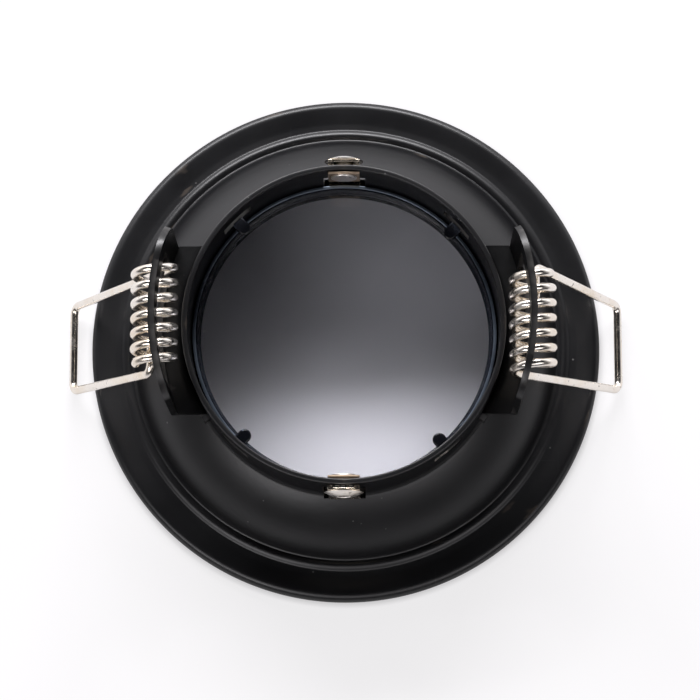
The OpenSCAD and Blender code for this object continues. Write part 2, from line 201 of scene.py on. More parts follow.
EAR_WINDOW_HEAD = COIL_Z + COIL_R + WIRE_D / 2 + COIL_GAP
EAR_TOP_Z = EAR_WINDOW_HEAD + EAR_BAR_H
EAR_WINDOW_HALF = HOOK_Y + WIRE_D / 2 + WINDOW_END_GAP
EAR_HALF = EAR_WINDOW_HALF + EAR_SIDE_W
LEG_HALF = EAR_HALF + LEG_REACH
CROSSBAR_X = TRIM_D / 2 + CROSSBAR_OUT
CROSSBAR_Y = HOOK_Y - ARM_LEAN

# Fineness of the meshes.
TURN_STEPS = 256
ARC_STEPS = 6
SOFT_STEPS = 3
DISH_STEPS = 40
COLLAR_STEPS = 12
FLAT_STEPS = 10
RIVET_STEPS = 72
DOME_STEPS = 18
BORE_STEPS = 40
BRACKET_CELL = 0.45
BEND_STEPS = 4
SHEET_STEPS = 4
EAR_CORNER_ANGLES = (1.2, 1.32, 1.42, 1.5)
WIRE_SIDES = 18
WIRE_STRIDE = 1.2
COIL_STEPS = 56
CORNER_STEPS = 14
SHARP_ANGLE = math.radians(38)
GROOVE_PASSES = 6
GROOVE_LEAD = 6
NEAR_SHARE = 0.45
WELD_GAP = 1e-7

# Softened edges, in millimetres.
PRESS_EDGE = 0.22
RING_EDGE = 0.16
GLASS_EDGE = 0.12
GASKET_TIP = 0.12
BRACKET_EDGE = 0.24
LEAF_EDGE = 0.09
STOP_EDGE = 0.3


# ---- shader groups


def group_tree(name, outputs, **inputs):
    """A new shader group: a place and named values in, named values out."""
    tree = bpy.data.node_groups.new(name, "ShaderNodeTree")
    for label, value in {"Vector": (0, 0, 0), **inputs}.items():
        kind = "NodeSocketFloat" if isinstance(value, float) else "NodeSocketVector"
        socket = tree.interface.new_socket(label.replace("_", " "), in_out="INPUT", socket_type=kind)
        socket.default_value = value
    for label in outputs:
        tree.interface.new_socket(label, in_out="OUTPUT", socket_type="NodeSocketFloat")
    return tree, tree.nodes.new("NodeGroupInput").outputs, tree.nodes.new("NodeGroupOutput").inputs


def add(tree, kind, **settings):
    """A new shader node of a kind, with its settings."""
    node = tree.nodes.new("ShaderNode" + kind)
    for key, value in settings.items():
        setattr(node, key, value)
    return node


def wire_up(tree, source, target):
    """A link between two sockets."""
    tree.links.new(source, target)


def feed(tree, slot, value):
    """Give a socket its value: a link from another socket, or a number."""
    if isinstance(value, bpy.types.NodeSocket):
        wire_up(tree, value, slot)
    else:
        slot.default_value = value


def maths(tree, operation, a, b=0.0):
    """A Math node of one or two values, each a socket or a number."""
    node = add(tree, "Math", operation=operation)
    feed(tree, node.inputs[0], a)
    feed(tree, node.inputs[1], b)
    return node.outputs[0]


def product(tree, a, b):
    """Two values multiplied."""
    return maths(tree, "MULTIPLY", a, b)


def spread(tree, value, low, high, to_low=0.0, to_high=1.0):
    """A clamped Map Range of a value."""
    node = add(tree, "MapRange", clamp=True)
    bounds = {"Value": value, "From Min": low, "From Max": high, "To Min": to_low, "To Max": to_high}
    for label, bound in bounds.items():
        feed(tree, node.inputs[label], bound)
    return node.outputs["Result"]


def noise_of(tree, vector, scale, detail=2.0, roughness=0.5):
    """A noise over a place; its scale is a socket or a number."""
    node = add(tree, "TexNoise")
    for label, value in {"Vector": vector, "Scale": scale, "Detail": detail, "Roughness": roughness}.items():
        feed(tree, node.inputs[label], value)
    return node.outputs["Fac"]


def make_dust_group():
    """Scattered dust and lint: small round specks of uneven brightness."""
    tree, given, result = group_tree("dust specks", ["Mask"], Scale=1500.0, Share=0.05, Size=0.24)
    cells = add(tree, "TexVoronoi", feature="F1")
    for label in ("Vector", "Scale"):
        wire_up(tree, given[label], cells.inputs[label])
    parts = add(tree, "SeparateColor")
    wire_up(tree, cells.outputs["Color"], parts.inputs[0])
    chosen = maths(tree, "LESS_THAN", parts.outputs[0], given["Share"])
    near = maths(tree, "LESS_THAN", cells.outputs["Distance"], given["Size"])
    speck = product(tree, chosen, near)
    wire_up(tree, product(tree, speck, parts.outputs[1]), result["Mask"])
    return tree


def make_scratch_group():
    """Fine handling scratches, in two crossing directions, broken up into short strokes."""
    tree, given, result = group_tree("handling scratches", ["Mask"], Scale=70.0, Amount=0.55)
    strokes = []
    for turn, stretch in ((0.5, (1.0, 30.0, 1.0)), (-0.9, (26.0, 1.0, 4.0))):
        mapping = add(tree, "Mapping")
        wire_up(tree, given["Vector"], mapping.inputs["Vector"])
        mapping.inputs["Rotation"].default_value = (0.3, 0.2, turn)
        mapping.inputs["Scale"].default_value = stretch
        fibre = noise_of(tree, mapping.outputs[0], given["Scale"], 3.0, 0.6)
        strokes.append(spread(tree, fibre, 0.68, 0.75))
    both = maths(tree, "MAXIMUM", strokes[0], strokes[1])
    patches = spread(tree, noise_of(tree, given["Vector"], 160.0), 0.5, 0.62)
    broken = product(tree, both, patches)
    wire_up(tree, product(tree, broken, given["Amount"]), result["Mask"])
    return tree


def make_paint_skin_group():
    """The skin of a sprayed coat: orange peel as a height, and cloudy changes of gloss."""
    tree, given, result = group_tree(
        "paint skin", ["Height", "Cloud"], Peel_Scale=1100.0, Cloud_Scale=60.0)
    peel = noise_of(tree, given["Vector"], given["Peel Scale"], 1.0, 0.4)
    cloud = noise_of(tree, given["Vector"], given["Cloud Scale"], 4.0, 0.6)
    wire_up(tree, peel, result["Height"])
    wire_up(tree, spread(tree, cloud, 0.3, 0.7), result["Cloud"])
    return tree


def make_edge_group():
    """Sharp edges, read from how far the surface stands out of its neighbourhood: worn paint on most
    finishes, a painted highlight on the gloss black.
    """
    tree, given, result = group_tree("edge wear and highlight", ["Mask"], From=0.53, To=0.6, Amount=0.5)
    shape = add(tree, "NewGeometry")
    stand_out = spread(tree, shape.outputs["Pointiness"], given["From"], given["To"])
    chips = spread(tree, noise_of(tree, given["Vector"], 420.0, 3.0), 0.4, 0.6, 0.35, 1.0)
    worn = product(tree, stand_out, chips)
    wire_up(tree, product(tree, worn, given["Amount"]), result["Mask"])
    return tree


def make_plating_group():
    """Polished plate: drawn marks along a direction, faint tarnish and tiny pits."""
    tree, given, result = group_tree(
        "plated finish", ["Grain", "Tarnish", "Pits"], Stretch=(1, 1, 1), Grain_Scale=500.0)
    mapping = add(tree, "Mapping")
    wire_up(tree, given["Vector"], mapping.inputs["Vector"])
    wire_up(tree, given["Stretch"], mapping.inputs["Scale"])
    grain = noise_of(tree, mapping.outputs[0], given["Grain Scale"], 3.0, 0.6)
    tarnish = spread(tree, noise_of(tree, given["Vector"], 130.0, 4.0, 0.6), 0.45, 0.75)
    pits = spread(tree, noise_of(tree, given["Vector"], 1500.0), 0.66, 0.74)
    wire_up(tree, grain, result["Grain"])
    wire_up(tree, tarnish, result["Tarnish"])
    wire_up(tree, pits, result["Pits"])
    return tree


DUST = make_dust_group()
SCRATCHES = make_scratch_group()
PAINT_SKIN = make_paint_skin_group()
EDGE_WEAR_AND_HIGHLIGHT = make_edge_group()
PLATING = make_plating_group()


# ---- materials


def set_values(node, values):
    """Constant values on a node's own inputs, by their names."""
    for label, value in values.items():
        node.inputs[label.replace("_", " ")].default_value = value


def blank_material(name, **values):
    """A material with values on its Principled shader, and object coordinates."""
    material = bpy.data.materials.new(name)
    material.use_nodes = True
    tree = material.node_tree
    shader = tree.nodes["Principled BSDF"]
    set_values(shader, values)
    return material, tree, shader, add(tree, "TexCoord").outputs["Object"]


def placed_group(tree, group, place, **values):
    """A shader group used at a place, with values for its inputs."""
    node = add(tree, "Group", node_tree=group)
    wire_up(tree, place, node.inputs["Vector"])
    set_values(node, values)
    return node


def tint(tree, mask, under, over):
    """Colour over laid on colour under by a mask. Each is a socket or a colour."""
    node = add(tree, "Mix", data_type="RGBA")
    wire_up(tree, mask, node.inputs["Factor"])
    for slot, value in ((node.inputs[6], under), (node.inputs[7], over)):
        feed(tree, slot, value if isinstance(value, bpy.types.NodeSocket) else (*value, 1))
    return node.outputs[2]


def dress(tree, shader, base, rough, height, depth):
    """Give a shader its colour, its roughness and the fine relief of its surface."""
    wire_up(tree, base, shader.inputs["Base Color"])
    wire_up(tree, rough, shader.inputs["Roughness"])
    relief = add(tree, "Bump")
    relief.inputs["Distance"].default_value = depth
    wire_up(tree, height, relief.inputs["Height"])
    wire_up(tree, relief.outputs[0], shader.inputs["Normal"])


def partly_clear(tree, shader, mask, colour):
    """Let light straight through a material where the mask is 1."""
    clear, mixed = add(tree, "BsdfTransparent"), add(tree, "MixShader")
    clear.inputs["Color"].default_value = (*colour, 1)
    for slot, source in zip(mixed.inputs, (mask, shader.outputs[0], clear.outputs[0])):
        wire_up(tree, source, slot)
    wire_up(tree, mixed.outputs[0], tree.nodes["Material Output"].inputs["Surface"])


# Where paint turns edge on its sheen falls: between these shares, from this much to this much.
SHEEN_FALL = (0.42, 0.78, 0.5, 0.04)


def paint_material(name, colour, gloss, dust_share, edge_wear_and_highlight_colour, edge_amount, peel):
    """Sprayed black paint over pressed sheet, duller where the sheet is seen edge on."""
    material, tree, shader, place = blank_material(name)
    skin = placed_group(tree, PAINT_SKIN, place)
    dust = placed_group(tree, DUST, place, Share=dust_share)
    scratches = placed_group(tree, SCRATCHES, place)
    edges = placed_group(tree, EDGE_WEAR_AND_HIGHLIGHT, place, Amount=edge_amount)
    faded = tuple(1.5 * part + 0.001 for part in colour)
    base = tint(tree, skin.outputs["Cloud"], colour, faded)
    base = tint(tree, scratches.outputs["Mask"], base, (0.04, 0.04, 0.043))
    # Sharp edges take the edge colour: worn paint on the satin and bracket black, a blue-grey painted
    # highlight on the gloss black.
    base = tint(tree, edges.outputs["Mask"], base, edge_wear_and_highlight_colour)
    base = tint(tree, dust.outputs["Mask"], base, (0.2, 0.195, 0.19))
    rough = spread(tree, skin.outputs["Cloud"], 0.0, 1.0, *gloss)
    rough = maths(tree, "MAXIMUM", rough, product(tree, dust.outputs["Mask"], 0.9))
    edge_on = add(tree, "LayerWeight").outputs["Facing"]
    wire_up(tree, spread(tree, edge_on, *SHEEN_FALL), shader.inputs["Specular IOR Level"])
    dress(tree, shader, base, rough, skin.outputs["Height"], peel)
    return material


def plated_material(name, colour, stretch, gloss, grain_depth):
    """Bright nickel plate."""
    material, tree, shader, place = blank_material(name, Metallic=1.0)
    plate = placed_group(tree, PLATING, place, Stretch=stretch)
    dust = placed_group(tree, DUST, place, Share=0.008, Size=0.25)
    warm = tuple(part * shade for part, shade in zip(colour, (0.9, 0.82, 0.7)))
    base = tint(tree, plate.outputs["Tarnish"], colour, warm)
    base = tint(tree, plate.outputs["Pits"], base, (0.34, 0.31, 0.27))
    rough = spread(tree, plate.outputs["Grain"], 0.35, 0.7, *gloss)
    rough = maths(tree, "MAXIMUM", rough, product(tree, dust.outputs["Mask"], 0.8))
    dress(tree, shader, base, rough, plate.outputs["Grain"], grain_depth)
    return material


def bare_edge_material():
    """The raw sheared edge of an opening: bright where it broke clean, painted over in places."""
    material, tree, shader, place = blank_material("sheared_edge")
    grain = placed_group(tree, PLATING, place, Stretch=(1.0, 1.0, 6.0)).outputs["Grain"]
    covered = spread(tree, noise_of(tree, place, 380.0, 3.0), 0.3, 0.46)
    base = tint(tree, covered, (0.5, 0.45, 0.4), (0.02, 0.019, 0.018))
    wire_up(tree, spread(tree, covered, 0.0, 1.0, 1.0, 0.0), shader.inputs["Metallic"])
    dress(tree, shader, base, spread(tree, grain, 0.3, 0.7, 0.25, 0.5), grain, 0.00004)
    return material


def shaded_plate_material():
    """The leaf's inner leg: a darker, browner copy of the same plate, painted shade inside the collar."""
    material, tree, shader, place = blank_material("leaf_plate_painted_shade", Metallic=0.75)
    plate = placed_group(tree, PLATING, place, Stretch=(5.0, 5.0, 1.0), Grain_Scale=260.0)
    grain = plate.outputs["Grain"]
    base = tint(tree, plate.outputs["Tarnish"], (0.5, 0.38, 0.27), (0.3, 0.22, 0.16))
    dress(tree, shader, base, spread(tree, grain, 0.3, 0.7, 0.3, 0.48), grain, 0.00003)
    return material


def rim_highlight_material():
    """The lock ring's upper edge: a blue-grey painted highlight on the gloss paint."""
    material, tree, shader, place = blank_material("rim_painted_highlight", Metallic=0.6)
    skin = placed_group(tree, PAINT_SKIN, place, Peel_Scale=900.0, Cloud_Scale=120.0)
    cloud = skin.outputs["Cloud"]
    base = tint(tree, cloud, (0.10, 0.125, 0.16), (0.2, 0.24, 0.3))
    dress(tree, shader, base, spread(tree, cloud, 0.0, 1.0, 0.28, 0.4), skin.outputs["Height"], 0.00001)
    return material


def mandrel_shade_material():
    """The torn end of the mandrel, deep in a rivet, in near-black steel: painted shade of the hole."""
    material, tree, shader, place = blank_material("mandrel_end_painted_shade", Metallic=1.0)
    torn = noise_of(tree, place, 900.0, 4.0, 0.7)
    base = tint(tree, torn, (0.02, 0.018, 0.016), (0.2, 0.17, 0.14))
    dress(tree, shader, base, spread(tree, torn, 0.2, 0.8, 0.45, 0.8), torn, 0.0002)
    return material


def gasket_material():
    """Glossy black silicone with a trace of moulding grain."""
    material, tree, shader, place = blank_material("black_silicone")
    skin = placed_group(tree, PAINT_SKIN, place, Peel_Scale=700.0, Cloud_Scale=90.0)
    cloud = skin.outputs["Cloud"]
    dust = placed_group(tree, DUST, place, Scale=1300.0, Share=0.01, Size=0.3)
    base = tint(tree, cloud, (0.006, 0.008, 0.014), (0.012, 0.016, 0.027))
    base = tint(tree, dust.outputs["Mask"], base, (0.2, 0.2, 0.2))
    dress(tree, shader, base, spread(tree, cloud, 0.0, 1.0, 0.14, 0.3), skin.outputs["Height"], 0.00002)
    return material


def glass_material():
    """Clear pane with a few specks. The lamps' light passes straight through it."""
    material, tree, shader, place = blank_material("clear_pane", Transmission_Weight=1.0, IOR=1.5)
    dust = placed_group(tree, DUST, place, Scale=520.0, Share=0.004, Size=0.12)
    base = tint(tree, dust.outputs["Mask"], (0.9, 0.905, 0.92), (0.6, 0.6, 0.6))
    wire_up(tree, base, shader.inputs["Base Color"])
    smear = spread(tree, noise_of(tree, place, 70.0, 3.0), 0.45, 0.8, 0.0, 0.03)
    rough = maths(tree, "MAXIMUM", smear, product(tree, dust.outputs["Mask"], 0.7))
    wire_up(tree, rough, shader.inputs["Roughness"])
    partly_clear(tree, shader, add(tree, "LightPath").outputs["Is Shadow Ray"], (0.88, 0.885, 0.9))
    return material


SATIN_BLACK = paint_material(
    "satin_black", colour=(0.006, 0.006, 0.0068), gloss=(0.34, 0.41), dust_share=0.004,
    edge_wear_and_highlight_colour=(0.13, 0.105, 0.085), edge_amount=0.5, peel=0.000012)
BRACKET_BLACK = paint_material(
    "bracket_black", colour=(0.004, 0.004, 0.0043), gloss=(0.27, 0.42), dust_share=0.012,
    edge_wear_and_highlight_colour=(0.1, 0.095, 0.09), edge_amount=0.6, peel=0.000016)
# Its blue-grey edge colour paints a highlight along its sharp edges.
GLOSS_BLACK = paint_material(
    "gloss_black", colour=(0.004, 0.0045, 0.0065), gloss=(0.14, 0.24), dust_share=0.008,
    edge_wear_and_highlight_colour=(0.2, 0.24, 0.32), edge_amount=0.6, peel=0.00001)
WIRE_PLATE = plated_material(
    "wire_nickel", colour=(0.93, 0.88, 0.81), stretch=(1.0, 1.0, 1.0), gloss=(0.17, 0.3),
    grain_depth=0.000006)
LEAF_PLATE = plated_material(
    "leaf_nickel", colour=(0.78, 0.7, 0.58), stretch=(6.0, 6.0, 1.0), gloss=(0.14, 0.3),
    grain_depth=0.000008)
RIVET_PLATE = plated_material(
    "rivet_nickel", colour=(0.95, 0.91, 0.87), stretch=(3.0, 3.0, 3.0), gloss=(0.26, 0.4),
    grain_depth=0.000006)
BARE_EDGE = bare_edge_material()
RIM_PAINTED_HIGHLIGHT = rim_highlight_material()
SHADED_LEAF_PLATE = shaded_plate_material()
MANDREL_END_SHADE = mandrel_shade_material()
SILICONE = gasket_material()
PANE = glass_material()


# ---- outlines and meshes


def steps(start, stop, count):
    """Evenly spaced values from start to stop, both included."""
    return [start + (stop - start) * i / count for i in range(count + 1)]


def way(path, i):
    """The unit direction of a 2-D path at its point i."""
    a, b = path[max(i - 1, 0)], path[min(i + 1, len(path) - 1)]
    length = math.hypot(b[0] - a[0], b[1] - a[1])
    return (b[0] - a[0]) / length, (b[1] - a[1]) / length


def beside(path, i, half, along=0.0):
    """The point beside a path's point i, and that much further along it."""
    dx, dy = way(path, i)
    return path[i][0] - half * dy + along * dx, path[i][1] + half * dx + along * dy


def sheet_outline(path, thickness, edge):
    """A path thickened to both sides, as a closed outline with softened ends."""
    half, last = thickness / 2, len(path) - 1
    outline = [beside(path, i, half) for i in range(1, last)]
    for i, inward in ((last, -1), (0, 1)):
        sign = -inward
        for corner in (sign, -sign):
            sweep = (0, math.pi / 2) if corner == sign else (math.pi / 2, 0)
            for a in steps(*sweep, SOFT_STEPS):
                out = half - edge + edge * math.cos(a)
                ahead = (edge - edge * math.sin(a)) * inward
                outline.append(beside(path, i, corner * out, ahead))
        if i == last:
            outline += [beside(path, k, -half) for k in range(last - 1, 0, -1)]
    return outline


def softened(corners, radius):
    """A closed outline with each corner rounded by the radius."""
    outline = []
    for i, corner in enumerate(corners):
        before, after = Vector(corners[i - 1]), Vector(corners[(i + 1) % len(corners)])
        here = Vector(corner)
        u, v = (before - here).normalized(), (after - here).normalized()
        half = u.angle(v) / 2
        room = min((before - here).length, (after - here).length) * NEAR_SHARE
        back = min(radius / math.tan(half), room)
        bend_r = back * math.tan(half)
        centre = here + (u + v).normalized() * bend_r / math.sin(half)
        a, b = here + u * back - centre, here + v * back - centre
        sweep = a.angle(b)
        for k in range(ARC_STEPS + 1):
            t = sweep * k / ARC_STEPS
            point = centre + (a * math.sin(sweep - t) + b * math.sin(t)) / math.sin(sweep)
            outline.append((point.x, point.y))
    return outline


def shown(name, data):
    """A new object of the scene."""
    item = bpy.data.objects.new(name, data)
    bpy.context.scene.collection.objects.link(item)
    return item


def closed_mesh(name, points, faces, materials):
    """A mesh of points in millimetres, welded, with all its faces turned outwards."""
    mesh = bpy.data.meshes.new(name)
    mesh.from_pydata([tuple(MM * part for part in p) for p in points], [], faces)
    for material in materials:
        mesh.materials.append(material)
    work = bmesh.new()
    work.from_mesh(mesh)
    bmesh.ops.remove_doubles(work, verts=work.verts, dist=WELD_GAP)
    bmesh.ops.recalc_face_normals(work, faces=work.faces)
    work.to_mesh(mesh)
    work.free()
    return mesh


def piece_from(name, points, faces, materials, body, cad_nodes):
    """A finished piece: sharp edges kept, riding on its body, in place of its CAD nodes."""
    piece = shown(name, closed_mesh(name, points, faces, materials))
    shade(piece)
    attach(piece, body)
    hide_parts(*cad_nodes)
    return piece


def shade(piece):
    """Smooth shading, broken at the sharp edges."""
    mesh = piece.data
    mesh.polygons.foreach_set("use_smooth", [True] * len(mesh.polygons))
    mesh.set_sharp_from_angle(angle=SHARP_ANGLE)
    mesh.update()


def round_points(outline, count):
    """The points of an outline of radius and height, repeated round the Z axis."""
    return [(r * math.cos(a), r * math.sin(a), z)
            for a in (FULL_TURN * k / count for k in range(count)) for r, z in outline]


def turned(outline):
    """Points and faces of a closed outline, turned round the Z axis."""
    size, faces = len(outline), []
    for k in range(TURN_STEPS):
        near, far = k * size, (k + 1) % TURN_STEPS * size
        for i in range(size):
            j = (i + 1) % size
            faces.append((near + i, far + i, far + j, near + j))
    return round_points(outline, TURN_STEPS), faces


def turned_solid(outline, count=TURN_STEPS):
    """As turned, for an open outline that starts and ends on the axis."""
    points, size = round_points(outline[1:-1], count), len(outline) - 2
    first, last, faces = len(points), len(points) + 1, []
    for k in range(count):
        near, far = k * size, (k + 1) % count * size
        faces.append((first, far, near))
        faces += [(near + i, far + i, far + i + 1, near + i + 1) for i in range(size - 1)]
        faces.append((last, near + size - 1, far + size - 1))
    return points + [(0, 0, outline[0][1]), (0, 0, outline[-1][1])], faces


def placed(points, matrix):
    """The points, moved by a matrix."""
    return [tuple(matrix @ Vector(p)) for p in points]


def joined(*parts):
    """Several lots of points and faces as one."""
    points, faces = [], []
    for some_points, some_faces in parts:
        start = len(points)
        points += some_points
        faces += [tuple(start + i for i in face) for face in some_faces]
    return points, faces


def block(low, high):
    """Points and faces of a box between two corners."""
    points = [(x, y, z) for x in (low[0], high[0]) for y in (low[1], high[1]) for z in (low[2], high[2])]
    return points, [(0, 1, 3, 2), (4, 6, 7, 5), (0, 4, 5, 1), (2, 3, 7, 6), (0, 2, 6, 4), (1, 5, 7, 3)]


def spun(part, degrees):
    """Points and faces, turned about the Z axis."""
    points, faces = part
    return placed(points, Matrix.Rotation(math.radians(degrees), 4, "Z")), faces


def bevelled(piece, width, segments=3, angle=35):
    """Soften a piece's sharp edges for good."""
    modifier = piece.modifiers.new("soft edges", "BEVEL")
    modifier.width = width * MM
    modifier.segments = segments
    modifier.limit_method = "ANGLE"
    modifier.angle_limit = math.radians(angle)
    settle(piece)


def settle(piece):
    """Apply a piece's modifiers."""
    bpy.context.view_layer.update()
    graph = bpy.context.evaluated_depsgraph_get()
    mesh = bpy.data.meshes.new_from_object(piece.evaluated_get(graph))
    piece.modifiers.clear()
    piece.data = mesh
    shade(piece)


# ---- trim


def smoothed(path, start, passes):
    """The path with its points from a place on drawn towards their neighbours."""
    path = list(path)
    for _ in range(passes):
        drawn = list(path)
        for i in range(start, len(path) - 1):
            drawn[i] = tuple((before + 2 * here + after) / 4
                             for before, here, after in zip(path[i - 1], path[i], path[i + 1]))
        path = drawn
    return path


def trim_path():
    """Middle of the pressed sheet, from the collar's rim to the flange's edge."""
    path = [(COLLAR_MID_R, z) for z in steps(COLLAR_RIM_Z, COLLAR_FOOT_Z + TRIM_T, COLLAR_STEPS)]
    for slope in steps(DISH_TOP_SLOPE, DISH_LOW_SLOPE, DISH_STEPS):
        path.append((DISH_CENTRE_R + DISH_CURVE_R * math.sin(slope),
                     DISH_CENTRE_Z + DISH_CURVE_R * math.cos(slope)))
    for a in steps(-math.pi / 2, math.pi / 2, 2 * ARC_STEPS):
        path.append((BEAD_R + BEAD_HALF * a / (math.pi / 2), FLANGE_MID_Z + BEAD_H * math.cos(a)))
    flat = steps(BEAD_R + BEAD_HALF + FOOT_EASE, RIM_R + CORNER_EASE, FLAT_STEPS)
    path += [(r, FLANGE_MID_Z) for r in flat]
    path += [(RIM_R + CORNER_EASE + FOOT_EASE, FLANGE_MID_Z), (ROLL_R - 2 * CORNER_EASE, RIM_MID_Z)]
    path = smoothed(path, COLLAR_STEPS + DISH_STEPS - GROOVE_LEAD, GROOVE_PASSES)
    for a in steps(0, math.pi / 2, 2 * ARC_STEPS):
        path.append((ROLL_R + ROLL_W * math.sin(a), RIM_MID_Z - ROLL_W + ROLL_W * math.cos(a)))
    path.append((EDGE_MID_R, 0))
    return path


def to_rivet(r):
    """From about the Z axis to about a rivet's axis, that far out along +X."""
    return Matrix.Translation((r, 0, RIVET_Z)) @ Matrix.Rotation(math.pi / 2, 4, "Y")


def rivet_bore(reach):
    """A cutter along +X for a rivet's hole in the collar."""
    bore_r = RIVET_D / 2 + RIVET_GAP
    points, faces = turned_solid([(0, 0), (bore_r, 0), (bore_r, reach), (0, reach)], BORE_STEPS)
    return placed(points, to_rivet(COLLAR_IN_R - PUNCH_OVER)), faces


def openings_cutter():
    """Everything that is punched out of the collar, as one object."""
    slot_box = block((COLLAR_IN_R - PUNCH_OVER, -STOP_SLOT_W / 2, STOP_Z),
                     (COLLAR_R + PUNCH_OVER, STOP_SLOT_W / 2, STOP_Z + STOP_SLOT_H))
    window_box = block((COLLAR_IN_R - PUNCH_OVER, -WINDOW_W / 2, WINDOW_LOW_Z),
                       (COLLAR_R + WINDOW_REACH, WINDOW_W / 2, WINDOW_TOP_Z))
    parts = [spun(slot_box, a) for a in STOP_ANGLES]
    for a in (90, 270):
        parts += [spun(window_box, a), spun(rivet_bore(TRIM_T + 2 * PUNCH_OVER), a)]
    return shown("openings", closed_mesh("openings", *joined(*parts), [BARE_EDGE]))


def make_trim_shell():
    """The pressed trim in one sheet, with its openings punched."""
    points, faces = turned(sheet_outline(trim_path(), TRIM_T, PRESS_EDGE))
    shell = piece_from("trim_shell", points, faces, [SATIN_BLACK], "trim", ["trim_body"])
    cutter = openings_cutter()
    punch = shell.modifiers.new("openings", "BOOLEAN")
    punch.operation = "DIFFERENCE"
    punch.solver = "EXACT"
    punch.material_mode = "TRANSFER"
    punch.object = cutter
    settle(shell)
    bpy.data.objects.remove(cutter)
    return shell


def lamp_stop():
    """One stop, lanced out of the collar and bent in: a tongue with a round end."""
    half, tip = STOP_W / 2, COLLAR_IN_R - STOP_REACH + STOP_W / 2
    outline = [(COLLAR_MID_R, -half), (COLLAR_MID_R, half)]
    outline += [(tip - half * math.sin(a), half * math.cos(a)) for a in steps(0, math.pi, 4 * ARC_STEPS)]
    low, high = STOP_Z - TRIM_T, STOP_Z
    points = [(x, y, z) for z in (low, high) for x, y in outline]
    count = len(outline)
    faces = [tuple(range(count)), tuple(range(count, 2 * count))]
    faces += [(i, (i + 1) % count, (i + 1) % count + count, i + count) for i in range(count)]
    return points, faces


def make_lamp_stops():
    """The four stops that keep the lamp's rim down."""
    points, faces = joined(*[spun(lamp_stop(), a) for a in STOP_ANGLES])
    stops = piece_from("lamp_stops", points, faces, [GLOSS_BLACK], "trim", ["trim_body"])
    bevelled(stops, STOP_EDGE, segments=4)
    return stops


# ---- lock ring, glass and gasket


def make_lock_ring():
    """The lock ring: sleeve, seat for the glass and front lip, with a painted blue-grey highlight on its
    upper edge.
    """
    corners = [
        (SLEEVE_IN_R - RING_SEAT_W, SEAT_Z), (SLEEVE_IN_R - RING_SEAT_W, GLASS_LOW_Z),
        (SLEEVE_IN_R, GLASS_LOW_Z), (SLEEVE_IN_R, RING_TOP_Z), (SLEEVE_R, RING_TOP_Z),
        (SLEEVE_R, SEAT_Z), (SLEEVE_R + BEZEL_REACH, SEAT_Z),
        (SLEEVE_R + BEZEL_REACH, RING_FRONT_Z), (SLEEVE_IN_R, RING_FRONT_Z)]
    points, faces = turned(softened(corners, RING_EDGE))
    ring = piece_from("lock_ring_shell", points, faces, [GLOSS_BLACK, RIM_PAINTED_HIGHLIGHT], "front_glass",
                      ["lock_ring"])
    # The faces of the upper edge take the painted blue-grey highlight.
    for face in ring.data.polygons:
        if face.center.z > (RING_TOP_Z - RING_EDGE) * MM:
            face.material_index = 1
    return ring


def make_glass_pane():
    """The pane: a disc with small chamfers."""
    rim = SLEEVE_IN_R - GLASS_GAP
    outline = [(0, GLASS_LOW_Z), (rim / 2, GLASS_LOW_Z), (rim - GLASS_EDGE, GLASS_LOW_Z),
               (rim, GLASS_LOW_Z + GLASS_EDGE), (rim, GLASS_TOP_Z - GLASS_EDGE),
               (rim - GLASS_EDGE, GLASS_TOP_Z), (rim / 2, GLASS_TOP_Z), (0, GLASS_TOP_Z)]
    points, faces = turned_solid(outline)
    return piece_from("glass_pane", points, faces, [PANE], "front_glass", ["glass_disc"])


def make_gasket():
    """The silicone lip: it climbs in a hollow curve from the glass to the sleeve."""
    out, deep, tall = SLEEVE_IN_R - TOUCH_GAP, GASKET_W - GASKET_TIP, GASKET_TOP_Z - GLASS_TOP_Z
    outline = [(out, GLASS_TOP_Z), (out, GASKET_TOP_Z), (out - GASKET_TIP, GASKET_TOP_Z)]
    outline += [(out - GASKET_TIP - deep * (1 - math.cos(a)), GASKET_TOP_Z - tall * math.sin(a))
                for a in steps(GASKET_LEAN, math.pi / 2, 3 * ARC_STEPS)]
    points, faces = turned(outline)
    return piece_from("gasket_ring", points, faces, [SILICONE], "front_glass", ["glass_gasket"])


# ---- catches


def eased(corners, radius):
    """A path with each of its inner corners rounded by the radius."""
    path = [corners[0]]
    for before, here, after in zip(corners, corners[1:], corners[2:]):
        before, here, after = Vector(before), Vector(here), Vector(after)
        back = min(radius, NEAR_SHARE * (before - here).length, NEAR_SHARE * (after - here).length)
        a, c = here + (before - here).normalized() * back, here + (after - here).normalized() * back
        path += [tuple((1 - t) ** 2 * a + 2 * t * (1 - t) * here + t * t * c) for t in steps(0, 1, ARC_STEPS)]
    return path + [corners[-1]]


def leaf_path():
    """A leaf's middle, as distance from the axis and height: outer leg, turn and inner leg."""
    turn_mid = LEAF_PLATE_R - LEAF_TURN_R
    turn = [(turn_mid + LEAF_TURN_R * math.cos(a), LEAF_TURN_Z + LEAF_TURN_R * math.sin(a))
            for a in steps(0, -math.pi, 2 * ARC_STEPS)]
    inner_leg = eased([turn[-1], (LEAF_GRIP_R, LEAF_TURN_Z + LEAF_BOW_H),
                       (LEAF_SLACK_R, LEAF_TURN_Z + 2 * LEAF_BOW_H), (LEAF_SLACK_R, STOP_Z - TRIM_T),
                       (LEAF_BORE_R, WINDOW_TOP_Z - LEAF_LEAN), (LEAF_BORE_R, LEAF_TOP_Z)], LEAF_BEND_R)
    return [(LEAF_PLATE_R, LEAF_TOP_Z)] + turn + inner_leg[1:]


